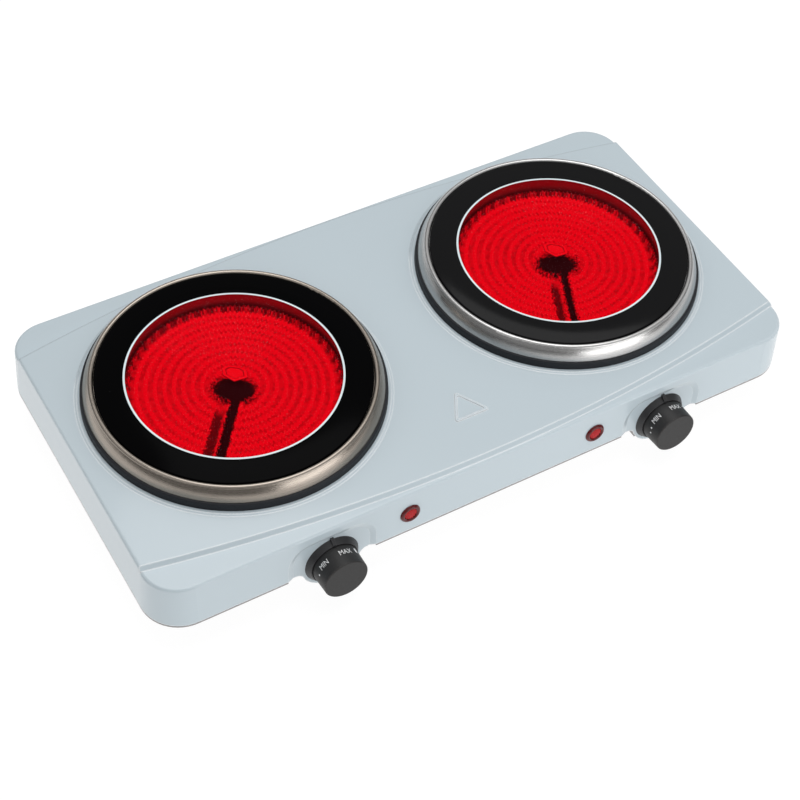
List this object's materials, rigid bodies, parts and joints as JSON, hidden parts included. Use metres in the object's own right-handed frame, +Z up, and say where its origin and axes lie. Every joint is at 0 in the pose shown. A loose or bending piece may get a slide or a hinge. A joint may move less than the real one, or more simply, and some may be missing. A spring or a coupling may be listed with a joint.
{
  "type": "double infrared hot plate",
  "caption": "Countertop hot plate with glass-topped infrared burners in one pressed steel housing, turned on by front knobs, with indicator lamps and rubber feet.",
  "frame": {"origin": "on the surface it stands on, under the middle of the outer box", "axes": "+X to the right along the length as the user faces the knobs, +Y away from the user, +Z up"},
  "size_m": [0.478, 0.2676, 0.0781],
  "materials": {
    "housing_enamel": "glossy pale blue-grey enamel over pressed steel",
    "zinc_steel": "zinc-coated sheet steel, satin",
    "base_paint": "satin pale paint",
    "ring_steel": "spun stainless steel, softly polished",
    "glass_ceramic": "black glass ceramic, printed underneath, glossy",
    "seal_rubber": "black silicone rubber, satin",
    "foot_rubber": "black rubber, matt",
    "knob_plastic": "dark grey phenolic, fine satin",
    "bezel_plastic": "dark grey phenolic, fine satin",
    "lens_red": "clear red polycarbonate, faceted inside",
    "lamp_plastic": "natural nylon",
    "regulator_plastic": "black phenolic",
    "insulation_board": null,
    "ribbon_alloy": "corrugated heating alloy, glowing red",
    "ceramic_block": "unglazed steatite",
    "terminal_plastic": "white nylon",
    "gland_plastic": "black nylon",
    "brass_parts": "plain brass"
  },
  "bodies": {
    "appliance": {"top_shell": "housing_enamel", "base_pan": "base_paint", "shell_lugs": "zinc_steel", "base_screws": "zinc_steel", "foot_front_left": "foot_rubber", "foot_front_right": "foot_rubber", "foot_back_left": "foot_rubber", "foot_back_right": "foot_rubber", "foot_screws": "zinc_steel", "cord_gland": "gland_plastic", "cord_clamp": "zinc_steel", "mains_terminal": "terminal_plastic", "earth_screw": "brass_parts", "left_glass_disc": "glass_ceramic", "left_trim_ring": "ring_steel", "left_gasket_ring": "seal_rubber", "left_ring_clips": "zinc_steel", "left_heater_pan": "zinc_steel", "left_insulation_base": "insulation_board", "left_insulation_ring": "insulation_board", "left_heating_ribbon": "ribbon_alloy", "left_coil_anchor": "ribbon_alloy", "left_heater_leads": "zinc_steel", "left_heater_terminal": "ceramic_block", "left_thermal_cutout": "ceramic_block", "left_crossbar": "zinc_steel", "left_pan_springs": "zinc_steel", "left_crossbar_screws": "zinc_steel", "left_bezel": "bezel_plastic", "left_control_screws": "zinc_steel", "left_regulator": "regulator_plastic", "left_lamp_lens": "lens_red", "left_lamp_body": "lamp_plastic", "left_lamp_clip": "zinc_steel", "right_glass_disc": "glass_ceramic", "right_trim_ring": "ring_steel", "right_gasket_ring": "seal_rubber", "right_ring_clips": "zinc_steel", "right_heater_pan": "zinc_steel", "right_insulation_base": "insulation_board", "right_insulation_ring": "insulation_board", "right_heating_ribbon": "ribbon_alloy", "right_coil_anchor": "ribbon_alloy", "right_heater_leads": "zinc_steel", "right_heater_terminal": "ceramic_block", "right_thermal_cutout": "ceramic_block", "right_crossbar": "zinc_steel", "right_pan_springs": "zinc_steel", "right_crossbar_screws": "zinc_steel", "right_bezel": "bezel_plastic", "right_control_screws": "zinc_steel", "right_regulator": "regulator_plastic", "right_lamp_lens": "lens_red", "right_lamp_body": "lamp_plastic", "right_lamp_clip": "zinc_steel"},
    "left_control": {"left_knob": "knob_plastic", "left_spindle": "brass_parts"},
    "right_control": {"right_knob": "knob_plastic", "right_spindle": "brass_parts"}
  },
  "joints": [
    {"name": "left_knob_turn", "type": "hinge", "parent": "appliance", "child": "left_control", "pos_m": [-0.121, -0.11545, 0.0285], "axis": [0, -0.9981, 0.061], "range_deg": [-335, 0]},
    {"name": "right_knob_turn", "type": "hinge", "parent": "appliance", "child": "right_control", "pos_m": [0.129, -0.11545, 0.0285], "axis": [0, -0.9981, 0.061], "range_deg": [-335, 0]}
  ]
}
